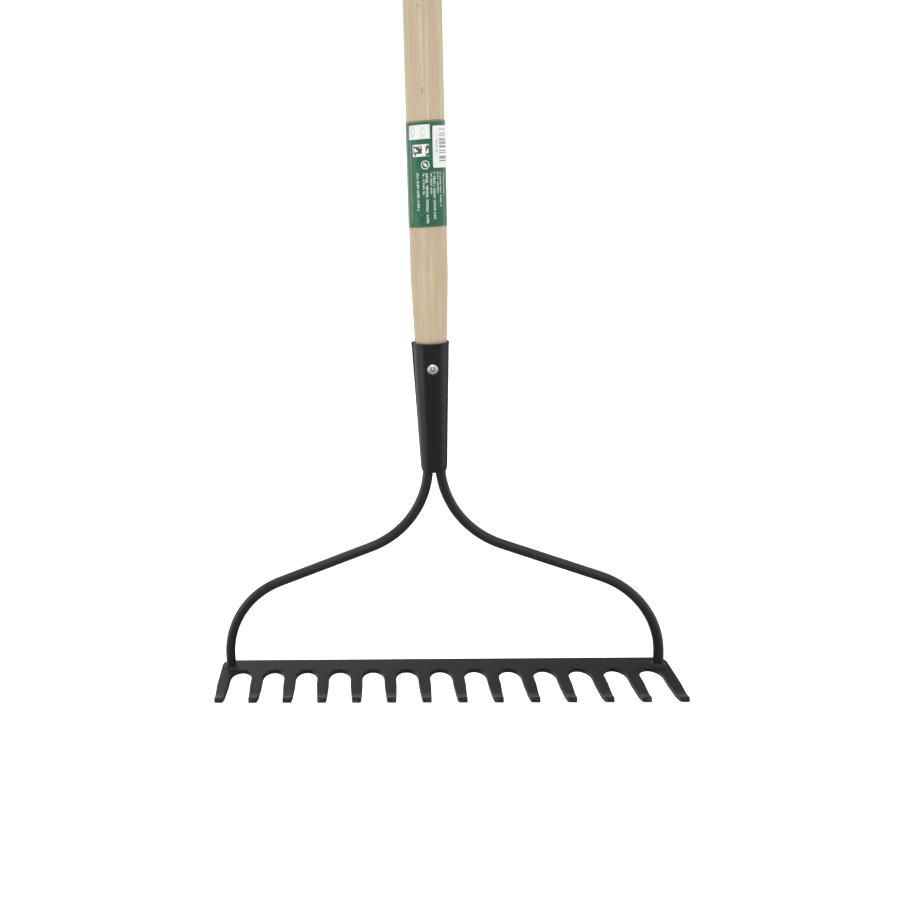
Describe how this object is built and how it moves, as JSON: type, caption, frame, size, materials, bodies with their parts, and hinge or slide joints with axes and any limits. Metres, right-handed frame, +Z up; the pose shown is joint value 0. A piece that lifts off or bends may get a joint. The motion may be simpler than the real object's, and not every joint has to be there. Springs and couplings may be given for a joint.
{
  "type": "bow rake",
  "caption": "Garden bow rake with a flat row of curled steel tines on a two-rod bow, a riveted rolled socket and a long round wooden handle.",
  "frame": {"origin": "on the underside of the tine head, below the axis of the handle", "axes": "+Z up along the handle, +X to the right along the tine head, the tines point to -Y"},
  "size_m": [0.3392, 0.0666, 1.58],
  "materials": {
    "head_coating": "satin black powder coat",
    "rod_coating": "satin black powder coat",
    "weld_coating": "satin black powder coat over weld beads",
    "socket_coating": "satin black powder coat",
    "ash_wood": "pale ash, sanded, thin clear coat",
    "label_paper": "green printed, laminated paper",
    "sticker_paper": "white paper sticker",
    "rivet_zinc": "bright, lightly brushed",
    "mandrel_steel": "plain drawn steel"
  },
  "bodies": {
    "root": {"tine_head": "head_coating", "left_rod": "rod_coating", "right_rod": "rod_coating", "left_foot_weld": "weld_coating", "right_foot_weld": "weld_coating", "socket": "socket_coating", "socket_weld": "weld_coating", "handle": "ash_wood", "label_sleeve": "label_paper", "barcode_sticker": "sticker_paper", "rivet_body": "rivet_zinc", "rivet_mandrel": "mandrel_steel"}
  },
  "joints": []
}
